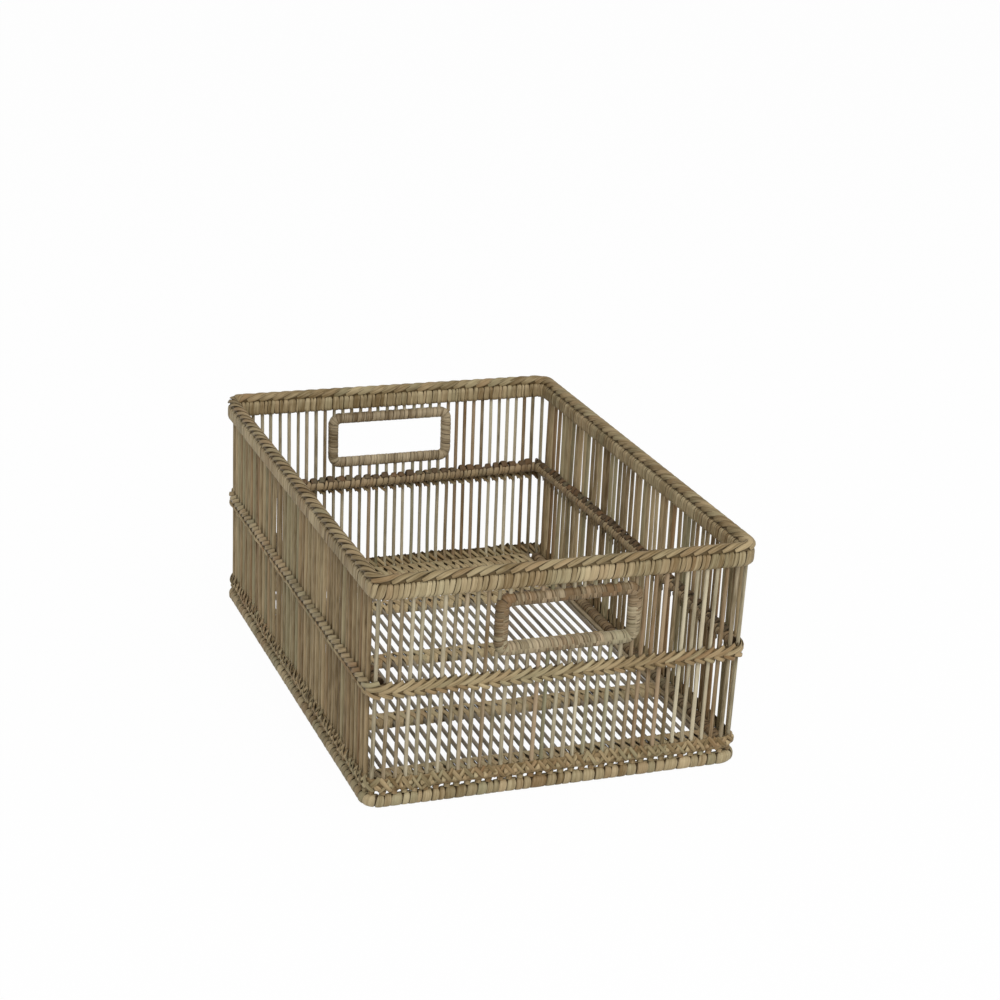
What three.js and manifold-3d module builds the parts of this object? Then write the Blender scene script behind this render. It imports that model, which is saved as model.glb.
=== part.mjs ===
// Open rattan basket with a hand hole in each end wall.
// Units are millimetres and +Z is up. The basket stands on z = 0, centred on x = y = 0.
// Its end walls face -Y (front) and +Y (rear), and its long side walls face -X (left) and +X (right).
import * as THREE from 'three';
import { mergeVertices } from 'three/addons/utils/BufferGeometryUtils.js';
import Module from 'manifold-3d';

const wasm = await Module();
wasm.setup();

// Walls, measured on the centre lines of the upright rods
const wallHalfWidth = 150;
const wallHalfLengthAtFoot = 214;
const endLean = 6;
const leanHeight = 172;
const cornerRadius = 10;
const cornerSteps = 4;
const fitGap = 0.3;
const railGap = 0.4;

// Upright rods of the walls and the long rods of the base
const rodRadius = 1.6;
const rodSides = 6;
const endRodCount = 34;
const endRodInset = 11.25;
const sideRodCount = 47;
const sideRodInset = 9.3;

// The split cane that passes between the rods of a panel and ties them together
const twineThickness = 1.2;
const twineHeight = 3;
const baseTwineWidth = 16;

// Wrapping cane and the slot that it leaves where the rods come in
const caneSkin = 0.9;
const wrapSlotHalf = 2;
const narrowSlotHalf = 1;
const roundCornerShare = 0.29;

// Foot hoop, with the flat strip that lies on it
const footHeight = 10.4;
const footWidth = 10;
const footCorner = 2.6;
const footStripHeight = 2.4;
const footStripWidth = 3.2;

// Plaits on the outside of the walls
const plaitDepth = 2.6;
const plaitCorner = 0.8;
const bottomPlaitHeight = 11;
const midPlaitHeight = 12.5;
const midPlaitDrop = 4;

// Wrapped rail at mid height, inside the long side walls and the rear wall
const midRailWidth = 9;
const midRailClearance = 10;
const midRailBend = 8;
const railOvershoot = 40;

// Rim: two hoops with the rods between them, wrapped together, and a plait on top
const rimClearance = 4;
const rimWrapHeight = 13.5;
const rimWidth = 10.8;
const rimShiftInward = 0.2;
const rimCorner = 1.4;
const rimPlaitHeight = 6.2;
const rimPlaitWidth = 9.6;
const rimPlaitCorner = 2.2;
const hoopCorner = 0.7;

// Hand hole frames, measured on the opening and on the wrapped tube round it.
// The rim lies above them and the mid rail below them, at the clearances given above.
const handOpeningWidth = 95.5;
const handOpeningHeight = 29;
const handCentreHeight = 141;
const handTube = 11;
const handCornerRadius = 7;
const handCornerSteps = 3;

// Wrapped rails and flat strips along the sides of the base
const sideRailDiameter = 9.6;
const edgeStripWidth = 4.2;
const edgeStripHeight = 2.6;
const edgeStripCorner = 0.6;

// Bars under the base rods and the cane lashed over the rods above them
const crossBarSpacing = 111;
const crossBarShift = 9;
const crossBarWidth = 16;
const barHeight = 2.8;
const barCorner = 1;
const lashingWidth = 18;
const lashingHeight = 0.8;
const endBarWidth = 21;

// Heights and places that follow from the sizes above
const baseRodCentre = footHeight + fitGap + footStripHeight + fitGap + rodRadius;
const baseRodTop = baseRodCentre + rodRadius;
const baseRodUnderside = baseRodCentre - rodRadius;
const barCentreHeight = baseRodUnderside - fitGap - barHeight / 2;
const barTop = barCentreHeight + barHeight / 2;
const lashingCentreHeight = baseRodTop + fitGap + lashingHeight / 2;
const frameHalfWidth = handOpeningWidth / 2 + handTube / 2;
const frameHalfHeight = handOpeningHeight / 2 + handTube / 2;
const handTop = handCentreHeight + frameHalfHeight + handTube / 2;
const handBottom = handCentreHeight - frameHalfHeight - handTube / 2;
const handSide = frameHalfWidth + handTube / 2;
const rimLowerEdge = handTop + rimClearance;
const rimWrapTop = rimLowerEdge + rimWrapHeight;
const rodTop = rimWrapTop - caneSkin - fitGap;
const midRailCentre = handBottom - midRailClearance - midRailWidth / 2;
const midPlaitCentre = midRailCentre - midPlaitDrop;
const sideRailRadius = sideRailDiameter / 2;
const sideRailX = wallHalfWidth - rodRadius - fitGap - sideRailRadius;
const sideRailHeight = footHeight + fitGap + sideRailRadius;
const sideRailHalfLength = wallHalfLengthAtFoot - cornerRadius;
const edgeStripX = sideRailX - sideRailRadius - railGap - edgeStripWidth / 2;
const edgeStripInner = edgeStripX - edgeStripWidth / 2;
const twineCentreHeight = (midRailCentre - midRailWidth / 2 + midPlaitCentre + midPlaitHeight / 2) / 2;

const UP = new THREE.Vector3(0, 1, 0);
const basket = new THREE.Group();

// Colours of weathered rattan
const rattan = {
  rod: 0x9c8a6c,
  darkRod: 0x7d6e57,
  wrap: 0xb5a17c,
  darkWrap: 0x7b6248,
  plait: 0xa8926c,
  core: 0x8f7a58,
  frame: 0xa79880,
};

function addPiece(name, geometry, color) {
  const flat = geometry.index ? geometry.toNonIndexed() : geometry;
  flat.deleteAttribute('uv');
  flat.computeVertexNormals();
  const material = new THREE.MeshStandardMaterial({ color, roughness: 0.8, metalness: 0 });
  const mesh = new THREE.Mesh(flat, material);
  mesh.name = name;
  basket.add(mesh);
  return mesh;
}

// The end walls lean out a little, so their distance from the middle grows with height
function endHalfLength(z) {
  return wallHalfLengthAtFoot + (endLean * z) / leanHeight;
}

// Closed outlines, as lists of [across, up] points round a centre

function barSection(width, height, corner) {
  const w = width / 2;
  const h = height / 2;
  return [
    [w, -h + corner], [w, h - corner], [w - corner, h], [-w + corner, h],
    [-w, h - corner], [-w, -h + corner], [-w + corner, -h], [w - corner, -h],
  ];
}

function roundSection(diameter) {
  return barSection(diameter, diameter, diameter * roundCornerShare);
}

// A wrapping with a slot along its top, through which what it holds comes out
function channelSection(width, height, corner, slotHalf) {
  const outer = barSection(width, height, corner);
  const innerCorner = Math.max(corner - caneSkin / 2, caneSkin / 2);
  const inner = barSection(width - 2 * caneSkin, height - 2 * caneSkin, innerCorner);
  const top = height / 2;
  const innerTop = height / 2 - caneSkin;
  return [
    [slotHalf, innerTop], [slotHalf, top], outer[2], outer[1], outer[0], outer[7],
    outer[6], outer[5], outer[4], outer[3], [-slotHalf, top], [-slotHalf, innerTop],
    inner[3], inner[4], inner[5], inner[6], inner[7], inner[0], inner[1], inner[2],
  ].reverse();
}

const flipUp = (section) => section.map(([a, b]) => [-a, -b]);
const turnOut = (section) => section.map(([a, b]) => [b, -a]);
const turnIn = (section) => section.map(([a, b]) => [-b, a]);
const moveBy = (section, across, up) => section.map(([a, b]) => [a + across, b + up]);

// Joins rings of points into a closed surface. Each ring holds one point for each corner of the section.
function skinRings(rings) {
  const count = rings[0].length;
  const positions = [];
  const index = [];
  rings.forEach((ring) => ring.forEach((p) => positions.push(p.x, p.y, p.z)));
  for (let r = 0; r < rings.length; r += 1) {
    const next = (r + 1) % rings.length;
    for (let s = 0; s < count; s += 1) {
      const t = (s + 1) % count;
      const a = r * count + s;
      const b = r * count + t;
      const c = next * count + t;
      const d = next * count + s;
      index.push(a, d, b, b, d, c);
    }
  }
  const geometry = new THREE.BufferGeometry();
  geometry.setAttribute('position', new THREE.Float32BufferAttribute(positions, 3));
  geometry.setIndex(index);
  return facesOut(geometry);
}

// Turns every triangle round if the surface encloses a negative volume
function facesOut(geometry) {
  const p = geometry.attributes.position;
  const order = geometry.index.array;
  const a = new THREE.Vector3();
  const b = new THREE.Vector3();
  const c = new THREE.Vector3();
  let volume = 0;
  for (let i = 0; i < order.length; i += 3) {
    a.fromBufferAttribute(p, order[i]);
    b.fromBufferAttribute(p, order[i + 1]);
    c.fromBufferAttribute(p, order[i + 2]);
    volume += a.dot(b.cross(c));
  }
  if (volume < 0) {
    for (let i = 0; i < order.length; i += 3) {
      [order[i + 1], order[i + 2]] = [order[i + 2], order[i + 1]];
    }
  }
  return geometry;
}

// A hoop that runs round all four walls. Its section is given as [outward from a line, height].
// The line lies inside the rods' centres by the inset, and turns each corner at the bend radius.
// Its front side can lie further forward than the front wall, to be cut off.
function hoop(section, inset = 0, bend = cornerRadius, forward = 0) {
  const rings = [];
  for (let corner = 0; corner < 4; corner += 1) {
    const signX = corner === 0 || corner === 3 ? 1 : -1;
    const signY = corner < 2 ? 1 : -1;
    const shift = signY < 0 ? -forward : 0;
    for (let step = 0; step <= cornerSteps; step += 1) {
      const angle = ((corner + step / cornerSteps) * Math.PI) / 2;
      rings.push(section.map(([out, z]) => {
        const reach = bend + out;
        const x = signX * (wallHalfWidth - inset - bend) + reach * Math.cos(angle);
        const y = signY * (endHalfLength(z) - inset - bend) + reach * Math.sin(angle) + shift;
        return new THREE.Vector3(x, y, z);
      }));
    }
  }
  return skinRings(rings);
}

// A rounded frame round a hand hole, in the leaning plane of an end wall.
// Its section is given as [through the wall, away from the opening].
function handFrame(section, side) {
  const rings = [];
  for (let corner = 0; corner < 4; corner += 1) {
    const signX = corner === 0 || corner === 3 ? 1 : -1;
    const signZ = corner < 2 ? 1 : -1;
    for (let step = 0; step <= handCornerSteps; step += 1) {
      const angle = ((corner + step / handCornerSteps) * Math.PI) / 2;
      rings.push(section.map(([through, away]) => {
        const reach = handCornerRadius + away;
        const x = signX * (frameHalfWidth - handCornerRadius) + reach * Math.cos(angle);
        const z = handCentreHeight + signZ * (frameHalfHeight - handCornerRadius)
          + reach * Math.sin(angle);
        return new THREE.Vector3(x, side * (endHalfLength(z) + through), z);
      }));
    }
  }
  return skinRings(rings);
}

// A straight bar from its section, along X or along Y
function bar(section, length, axis) {
  const shape = new THREE.Shape(section.map(([a, b]) => new THREE.Vector2(a, b)));
  const geometry = new THREE.ExtrudeGeometry(shape, { depth: length, steps: 1, bevelEnabled: false });
  geometry.translate(0, 0, -length / 2);
  geometry.rotateX(Math.PI / 2);
  if (axis === 'x') geometry.rotateZ(Math.PI / 2);
  return geometry;
}

// A round rod between two points. Its flats face the neighbours along the panel.
function rod(from, to, turn = 0) {
  const along = new THREE.Vector3().subVectors(to, from);
  const geometry = new THREE.CylinderGeometry(rodRadius, rodRadius, along.length(), rodSides);
  geometry.rotateY(turn);
  geometry.applyQuaternion(new THREE.Quaternion().setFromUnitVectors(UP, along.normalize()));
  const middle = new THREE.Vector3().addVectors(from, to).multiplyScalar(1 / 2);
  return geometry.translate(middle.x, middle.y, middle.z);
}

function toSolid(geometry) {
  const plain = geometry.clone();
  plain.deleteAttribute('normal');
  plain.deleteAttribute('uv');
  const merged = mergeVertices(plain);
  return new wasm.Manifold(new wasm.Mesh({
    numProp: 3,
    vertProperties: merged.attributes.position.array,
    triVerts: new Uint32Array(merged.index.array),
  }));
}

function fromSolid(solid) {
  const mesh = solid.getMesh();
  const geometry = new THREE.BufferGeometry();
  geometry.setAttribute('position', new THREE.BufferAttribute(mesh.vertProperties, 3));
  geometry.setIndex(new THREE.BufferAttribute(mesh.triVerts, 1));
  return geometry;
}

// A panel is a row of rods and the cane that ties them, joined into one solid
function panel(rods, twine) {
  return fromSolid(rods.reduce((solid, each) => solid.add(toSolid(each)), toSolid(twine)));
}

// Places along an end wall, and the outline of the wall where it turns into the corner
const endRodPitch = (2 * (wallHalfWidth - endRodInset)) / (endRodCount - 1);
const endRodPlaces = Array.from({ length: endRodCount }, (_, i) => (
  -(wallHalfWidth - endRodInset) + i * endRodPitch
));
const sideRodPitch = (2 * (wallHalfLengthAtFoot - sideRodInset)) / (sideRodCount - 1);
const sideRodPlaces = Array.from({ length: sideRodCount }, (_, i) => (
  -(wallHalfLengthAtFoot - sideRodInset) + i * sideRodPitch
));

function cornerSetback(x) {
  const past = Math.abs(x) - (wallHalfWidth - cornerRadius);
  return past > 0 ? cornerRadius - Math.sqrt(cornerRadius ** 2 - past ** 2) : 0;
}

function endRod(x, side, low, high) {
  const at = (z) => new THREE.Vector3(x, side * (endHalfLength(z) - cornerSetback(x)), z);
  return rod(at(low), at(high));
}

function endTwine(places, side, height) {
  const first = places[0];
  const last = places[places.length - 1];
  const strip = new THREE.BoxGeometry(last - first, twineThickness, twineHeight);
  return strip.translate((first + last) / 2, side * endHalfLength(height), height);
}

// End walls: full rods beside the hand hole, short ones below it and stubs above it
function addEndWall(name, side) {
  const clear = handSide + rodRadius + fitGap;
  const left = endRodPlaces.filter((x) => x < -clear);
  const right = endRodPlaces.filter((x) => x > clear);
  const middle = endRodPlaces.filter((x) => Math.abs(x) <= clear);
  const rows = [
    ['rods_left', left, baseRodUnderside, rodTop, twineCentreHeight, rattan.rod],
    ['rods_right', right, baseRodUnderside, rodTop, twineCentreHeight, rattan.rod],
    ['rods_below_handle', middle, baseRodUnderside, handBottom - fitGap, twineCentreHeight, rattan.rod],
    ['rods_above_handle', middle, handTop + fitGap, rodTop, rodTop - twineHeight, rattan.rod],
  ];
  rows.forEach(([part, places, low, high, tied, color]) => {
    const rods = places.map((x) => endRod(x, side, low, high));
    addPiece(`${name}_${part}`, panel(rods, endTwine(places, side, tied)), color);
  });
}

// Side walls: upright rods in four bays, parted where the bars of the base are lashed
function addSideWall(name, side) {
  const barPlaces = [-1, 0, 1].map((i) => crossBarShift + i * crossBarSpacing);
  const bays = [[], [], [], []];
  sideRodPlaces.forEach((y) => bays[barPlaces.filter((place) => y > place).length].push(y));
  bays.forEach((places, bay) => {
    const x = side * wallHalfWidth;
    const rods = places.map((y) => rod(
      new THREE.Vector3(x, y, baseRodUnderside),
      new THREE.Vector3(x, y, rodTop),
      Math.PI / rodSides,
    ));
    const last = places[places.length - 1];
    const twine = new THREE.BoxGeometry(twineThickness, last - places[0], twineHeight);
    twine.translate(x, (places[0] + last) / 2, twineCentreHeight);
    addPiece(`${name}_rods_bay_${bay + 1}`, panel(rods, twine), rattan.rod);
  });
}

// Corner posts stand half way round each corner
function addCornerPosts() {
  const reach = cornerRadius * (1 - Math.SQRT1_2);
  [['front_left', -1, -1], ['front_right', 1, -1], ['rear_left', -1, 1], ['rear_right', 1, 1]]
    .forEach(([place, signX, signY]) => {
      const at = (z) => new THREE.Vector3(
        signX * (wallHalfWidth - reach),
        signY * (endHalfLength(z) - reach),
        z,
      );
      addPiece(`corner_post_${place}`, rod(at(baseRodUnderside), at(rodTop)), rattan.rod);
    });
}

// Rim
function addRim() {
  const wrapCentre = rimLowerEdge + rimWrapHeight / 2;
  const wrap = flipUp(channelSection(rimWidth, rimWrapHeight, rimCorner, wrapSlotHalf));
  addPiece('rim_wrap', hoop(moveBy(wrap, -rimShiftInward, wrapCentre)), rattan.wrap);

  const innerFace = rodRadius + railGap;
  const outerReach = rimWidth / 2 - rimShiftInward - caneSkin - fitGap;
  const innerReach = rimWidth / 2 + rimShiftInward - caneSkin - fitGap;
  const hoopHeight = rimWrapHeight - 2 * caneSkin - 2 * fitGap;
  const outer = barSection(outerReach - innerFace, hoopHeight, hoopCorner);
  const inner = barSection(innerReach - innerFace, hoopHeight, hoopCorner);
  addPiece('rim_outer_hoop', hoop(moveBy(outer, (outerReach + innerFace) / 2, wrapCentre)), rattan.core);
  addPiece('rim_inner_hoop', hoop(moveBy(inner, -(innerReach + innerFace) / 2, wrapCentre)), rattan.core);

  const cap = barSection(rimPlaitWidth, rimPlaitHeight, rimPlaitCorner);
  const capCentre = rimWrapTop + fitGap + rimPlaitHeight / 2;
  addPiece('rim_plait', hoop(moveBy(cap, -rimShiftInward, capCentre)), rattan.plait);
}

// A rail that runs along both sides and the rear, and ends against the front wall's rods
function threeSided(section, inset, bend) {
  const frontEnd = wallHalfLengthAtFoot - rodRadius - railGap;
  const whole = toSolid(hoop(section, inset, bend, railOvershoot));
  return fromSolid(whole.trimByPlane([0, 1, 0], -frontEnd));
}

// Rail and plait at mid height
function addMidBand() {
  const railInset = rodRadius + railGap + midRailWidth / 2;
  const core = roundSection(midRailWidth - 2 * caneSkin - 2 * fitGap);
  const wrap = turnOut(channelSection(
    midRailWidth,
    midRailWidth,
    midRailWidth * roundCornerShare,
    narrowSlotHalf,
  ));
  const railCore = moveBy(core, 0, midRailCentre);
  const railWrap = moveBy(wrap, 0, midRailCentre);
  addPiece('mid_rail', threeSided(railCore, railInset, midRailBend), rattan.core);
  addPiece('mid_rail_wrap', threeSided(railWrap, railInset, midRailBend), rattan.darkWrap);

  const plait = barSection(plaitDepth, midPlaitHeight, plaitCorner);
  const plaitOut = rodRadius + railGap + plaitDepth / 2;
  addPiece('mid_plait', hoop(moveBy(plait, plaitOut, midPlaitCentre)), rattan.plait);
}

// Bottom plait and foot hoop
function addFoot() {
  const plait = barSection(plaitDepth, bottomPlaitHeight, plaitCorner);
  const plaitOut = rodRadius + railGap + plaitDepth / 2;
  const plaitCentre = baseRodUnderside + bottomPlaitHeight / 2;
  addPiece('bottom_plait', hoop(moveBy(plait, plaitOut, plaitCentre)), rattan.plait);

  const strip = barSection(footStripWidth, footStripHeight, footStripHeight / 4);
  const stripCentre = footHeight + fitGap + footStripHeight / 2;
  addPiece('foot_strip', hoop(moveBy(strip, 0, stripCentre)), rattan.wrap);

  const inside = 2 * caneSkin + 2 * fitGap;
  const core = barSection(footWidth - inside, footHeight - inside, footCorner - caneSkin / 2);
  const wrap = channelSection(footWidth, footHeight, footCorner, narrowSlotHalf);
  addPiece('foot_hoop', hoop(moveBy(core, 0, footHeight / 2)), rattan.core);
  addPiece('foot_wrap', hoop(moveBy(wrap, 0, footHeight / 2)), rattan.wrap);
}

// Frames round the hand holes
function addHandFrames() {
  const core = roundSection(handTube - 2 * caneSkin - 2 * fitGap);
  const wrap = channelSection(handTube, handTube, handTube * roundCornerShare, narrowSlotHalf);
  [['front', -1], ['rear', 1]].forEach(([place, side]) => {
    addPiece(`handle_frame_${place}`, handFrame(core, side), rattan.core);
    addPiece(`handle_wrap_${place}`, handFrame(wrap, side), rattan.frame);
  });
}

// Base: long rods over cross bars, with a lashing over them at each bar
function addBase() {
  const baseRodEnd = endHalfLength(baseRodCentre) - rodRadius - fitGap;
  const inside = endRodPlaces.filter((x) => Math.abs(x) < edgeStripInner - 2 * rodRadius);
  const clear = handSide + rodRadius + fitGap;
  const groups = [
    ['left', inside.filter((x) => x < -clear)],
    ['middle', inside.filter((x) => Math.abs(x) <= clear)],
    ['right', inside.filter((x) => x > clear)],
  ];
  groups.forEach(([place, places]) => {
    const rods = places.map((x) => rod(
      new THREE.Vector3(x, -baseRodEnd, baseRodCentre),
      new THREE.Vector3(x, baseRodEnd, baseRodCentre),
    ));
    const last = places[places.length - 1];
    const twine = new THREE.BoxGeometry(last - places[0], baseTwineWidth, twineThickness);
    twine.translate((places[0] + last) / 2, crossBarShift, baseRodCentre);
    addPiece(`base_rods_${place}`, panel(rods, twine), rattan.darkRod);
  });

  const drop = sideRailHeight - barTop;
  const railReach = drop < sideRailRadius ? Math.sqrt(sideRailRadius ** 2 - drop ** 2) : 0;
  const barLength = 2 * (sideRailX - railReach - fitGap);
  const lashingLength = 2 * (edgeStripX + edgeStripWidth / 2);
  const crossBar = barSection(crossBarWidth, barHeight, barCorner);
  const lashing = barSection(lashingWidth, lashingHeight, lashingHeight / 4);
  ['front', 'middle', 'rear'].forEach((place, i) => {
    const y = crossBarShift + (i - 1) * crossBarSpacing;
    addPiece(`cross_bar_${place}`, bar(crossBar, barLength, 'x').translate(0, y, barCentreHeight),
      rattan.darkWrap);
    addPiece(`cross_lashing_${place}`, bar(lashing, lashingLength, 'x')
      .translate(0, y, lashingCentreHeight), rattan.wrap);
  });

  const endBar = barSection(endBarWidth, barHeight, barCorner);
  const endLashing = barSection(endBarWidth, lashingHeight, lashingHeight / 4);
  const endBarY = wallHalfLengthAtFoot - footWidth / 2 - railGap - endBarWidth / 2;
  [['front', -1], ['rear', 1]].forEach(([place, side]) => {
    addPiece(`end_bar_${place}`, bar(endBar, barLength, 'x')
      .translate(0, side * endBarY, barCentreHeight), rattan.darkWrap);
    addPiece(`end_lashing_${place}`, bar(endLashing, lashingLength, 'x')
      .translate(0, side * endBarY, lashingCentreHeight), rattan.wrap);
  });

  const railCore = roundSection(sideRailDiameter - 2 * caneSkin - 2 * fitGap);
  const railWrap = channelSection(
    sideRailDiameter,
    sideRailDiameter,
    sideRailDiameter * roundCornerShare,
    narrowSlotHalf,
  );
  const strip = barSection(edgeStripWidth, edgeStripHeight, edgeStripCorner);
  const stripHeight = baseRodUnderside + edgeStripHeight / 2;
  [['left', -1], ['right', 1]].forEach(([place, side]) => {
    const slotOut = side < 0 ? turnIn(railWrap) : turnOut(railWrap);
    const railLength = 2 * sideRailHalfLength;
    addPiece(`side_rail_${place}`, bar(railCore, railLength, 'y')
      .translate(side * sideRailX, 0, sideRailHeight), rattan.core);
    addPiece(`side_rail_wrap_${place}`, bar(slotOut, railLength, 'y')
      .translate(side * sideRailX, 0, sideRailHeight), rattan.wrap);
    addPiece(`base_edge_strip_${place}`, bar(strip, 2 * baseRodEnd, 'y')
      .translate(side * edgeStripX, 0, stripHeight), rattan.darkWrap);
  });
}

addRim();
addMidBand();
addFoot();
addHandFrames();
addBase();
addEndWall('front', -1);
addEndWall('rear', 1);
addSideWall('left', -1);
addSideWall('right', 1);
addCornerPosts();

export default basket;
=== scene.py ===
"""Dresses the solid model of an open rattan basket with wound, plaited and woven cane.

All lengths are in metres. The basket stands on z = 0 and its front end wall faces -Y.
"""

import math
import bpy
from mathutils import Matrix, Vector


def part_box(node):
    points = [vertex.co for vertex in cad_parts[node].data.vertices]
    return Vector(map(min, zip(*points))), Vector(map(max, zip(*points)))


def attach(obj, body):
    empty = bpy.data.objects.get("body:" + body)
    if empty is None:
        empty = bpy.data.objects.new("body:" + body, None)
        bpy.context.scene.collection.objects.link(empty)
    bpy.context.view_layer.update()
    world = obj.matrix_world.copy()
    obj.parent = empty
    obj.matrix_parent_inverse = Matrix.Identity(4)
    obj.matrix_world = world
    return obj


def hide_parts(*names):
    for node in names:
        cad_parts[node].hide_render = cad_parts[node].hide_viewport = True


bl_info = {
    "name": "Rattan basket",
    "version": (1, 0, 0),
    "blender": (4, 5, 0),
    "location": "View3D > Sidebar > Basket",
    "description": "Winds, plaits and weaves an open rattan basket over its solid model",
    "category": "Add Mesh",
}

import zlib

import bpy
import numpy as np
from bpy.props import FloatProperty, FloatVectorProperty, IntProperty, PointerProperty
from mathutils import Matrix, Vector

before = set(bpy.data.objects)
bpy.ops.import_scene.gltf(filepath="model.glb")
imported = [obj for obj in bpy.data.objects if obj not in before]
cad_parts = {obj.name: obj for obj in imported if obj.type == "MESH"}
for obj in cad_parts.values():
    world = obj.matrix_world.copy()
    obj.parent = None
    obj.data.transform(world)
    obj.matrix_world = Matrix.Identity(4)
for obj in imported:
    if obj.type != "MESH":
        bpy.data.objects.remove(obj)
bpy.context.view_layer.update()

X_WAY, Y_WAY, Z_WAY = np.identity(3)
TINY = 1e-12


# Sizes and colours that a user would change


def linear(red, green, blue):
    """Turns a screen colour, given from 0 to 255, into the linear colour that Blender uses"""
    shares = [value / 255 for value in (red, green, blue)]
    return tuple(s / 12.92 if s <= 0.04045 else ((s + 0.055) / 1.055) ** 2.4 for s in shares)


def metres(name, description, default):
    return FloatProperty(name=name, description=description, default=default, min=0,
                         unit="LENGTH", precision=4)


def paint(name, description, red, green, blue):
    return FloatVectorProperty(name=name, description=description, default=linear(red, green, blue),
                               min=0, max=1, size=3, subtype="COLOR")


class BasketSizes(bpy.types.PropertyGroup):
    """Lengths that the canes follow"""

    half_width: metres("Half width", "From the middle to the rods of a side wall", 0.150)
    foot_half_length: metres(
        "Half length", "From the middle to the rods of an end wall, at the foot", 0.214)
    end_lean: metres("End lean", "How far an end wall leans out over the lean height", 0.006)
    lean_height: metres("Lean height", "Height over which the end walls lean", 0.172)
    corner_bend: metres("Corner bend", "Radius of the walls' corners", 0.010)
    rod_radius: metres("Rod radius", "Radius of an upright rod", 0.0016)
    rod_top: metres("Rod top", "Height at which the upright rods end in the rim", 0.1828)
    base_height: metres("Base height", "Height of the middle of the base rods", 0.0150)
    base_bend: metres("Base bend", "Radius at which a rod turns up from the base", 0.004)
    end_rod_inset: metres(
        "End rod inset", "From the outermost rod of an end wall to the side wall's rods", 0.01125)
    side_rod_inset: metres(
        "Side rod inset", "From the outermost rod of a side wall to the end wall's rods", 0.0093)
    end_rods: IntProperty(
        name="End rods", description="Upright rods in an end wall", default=34, min=4)
    side_rods: IntProperty(
        name="Side rods", description="Upright rods in a side wall", default=47, min=4)
    cane_thickness: metres(
        "Cane thickness", "Thickness of the split cane of the wrappings", 0.0009)
    rim_turn: metres("Rim turn", "Usual width of a turn of cane round the rim", 0.0043)
    foot_turn: metres("Foot turn", "Usual width of a turn of cane round the foot", 0.0076)
    handle_turn: metres("Handle turn", "Usual width of a turn of cane round a hand hole", 0.0042)
    front_handle_tube: metres(
        "Front handle", "Thickness of the wrapped frame of the front hand hole", 0.0106)
    rear_handle_tube: metres(
        "Rear handle", "Thickness of the wrapped frame of the rear hand hole", 0.0094)
    front_handle_shift: metres(
        "Front handle shift", "How far right of the middle the front hand hole sits", 0.0014)
    rear_handle_shift: metres(
        "Rear handle shift", "How far left of the middle the rear hand hole sits", 0.0012)
    rail_rise: metres(
        "Rail rise", "How much higher the mid rail runs at the middle of the right wall", 0.0065)
    rail_rise_spread: metres(
        "Rail rise spread", "How far from that place the mid rail is nearly level again", 0.25)
    rail_turn: metres("Rail turn", "Usual width of a turn of cane round a rail", 0.0045)
    bar_turn: metres("Bar turn", "Usual width of a turn of cane round a bar of the base", 0.0062)
    rim_plait_pitch: metres(
        "Rim plait pitch", "From one strand of the rim's plait to the next", 0.01135)
    rim_plait_run: metres(
        "Rim plait run", "Length of rim that a strand takes to cross its top", 0.0315)
    rim_plait_cane: metres("Rim plait cane", "Width of a strand of the rim's plait", 0.0057)


class BasketColours(bpy.types.PropertyGroup):
    """Colours of the weathered cane, each at its dark and at its light side"""

    wrap_dark: paint("Wrap dark", "Rim and foot wrapping, dark", 116, 96, 60)
    wrap_light: paint("Wrap light", "Rim and foot wrapping, light", 196, 178, 140)
    plait_dark: paint("Plait dark", "Plaits, dark", 110, 90, 54)
    plait_light: paint("Plait light", "Plaits, light", 190, 170, 130)
    handle_dark: paint("Handle dark", "Hand hole wrapping, dark", 106, 88, 60)
    handle_light: paint("Handle light", "Hand hole wrapping, light", 190, 173, 142)
    inner_dark: paint("Inner dark", "Wrapping inside the basket, dark", 84, 66, 42)
    inner_light: paint("Inner light", "Wrapping inside the basket, light", 162, 140, 106)
    rod_dark: paint("Rod dark", "Wall rods, dark", 105, 92, 62)
    rod_light: paint("Rod light", "Wall rods, light", 208, 197, 168)
    side_dark: paint("Side dark", "Side wall rods, dark", 98, 79, 48)
    side_light: paint("Side light", "Side wall rods, light", 186, 166, 128)
    base_dark: paint("Base dark", "Base rods, dark", 98, 90, 74)
    base_light: paint("Base light", "Base rods, light", 166, 156, 137)
    # The core colours are painted shade: the cores show only in the slits between turns, and their dark
    # colour stands for the shade there
    core_dark: paint("Core dark", "Hoops under the wrapping, dark", 50, 35, 16)
    core_light: paint("Core light", "Hoops under the wrapping, light", 88, 68, 38)
    warm_stain: paint("Warm stain", "Reddish brown patches", 136, 98, 60)
    grey_stain: paint("Grey stain", "Greyish green patches", 144, 143, 112)
    # Gap shade is painted shade and dirt, laid along the edges and underside of each cane where the turns
    # meet
    gap_shade: paint("Gap shade", "Dirt along the edges of a cane", 42, 29, 10)
    floor: paint("Floor", "Floor and background", 255, 255, 255)


class BasketStage(bpy.types.PropertyGroup):
    """Camera and lamps"""

    azimuth: FloatProperty(
        name="Azimuth", description="Turn of the view from +Y towards +X",
        default=math.radians(20.9955), subtype="ANGLE")
    elevation: FloatProperty(
        name="Elevation", description="Height of the camera over the level",
        default=math.radians(19.912), subtype="ANGLE")
    roll: FloatProperty(
        name="Roll", description="Roll of the camera", default=math.radians(2.7347),
        subtype="ANGLE")
    distance: metres("Distance", "From the camera to the aim point", 1.877)
    aim: FloatVectorProperty(
        name="Aim", description="Point in the middle of the picture", size=3,
        default=(0.0303, 0.0109, 0.1506), subtype="TRANSLATION", unit="LENGTH")
    lens: FloatProperty(
        name="Lens", description="Focal length in millimetres for a 36 mm sensor",
        default=80.337)
    ambient: FloatProperty(
        name="Ambient", description="Strength of the light from all round", default=0.62, min=0)
    key: FloatProperty(
        name="Key", description="Power of the main lamp in watts", default=46, min=0)
    fill: FloatProperty(
        name="Fill", description="Power of the side lamp in watts", default=10, min=0)


# Shader nodes


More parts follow.
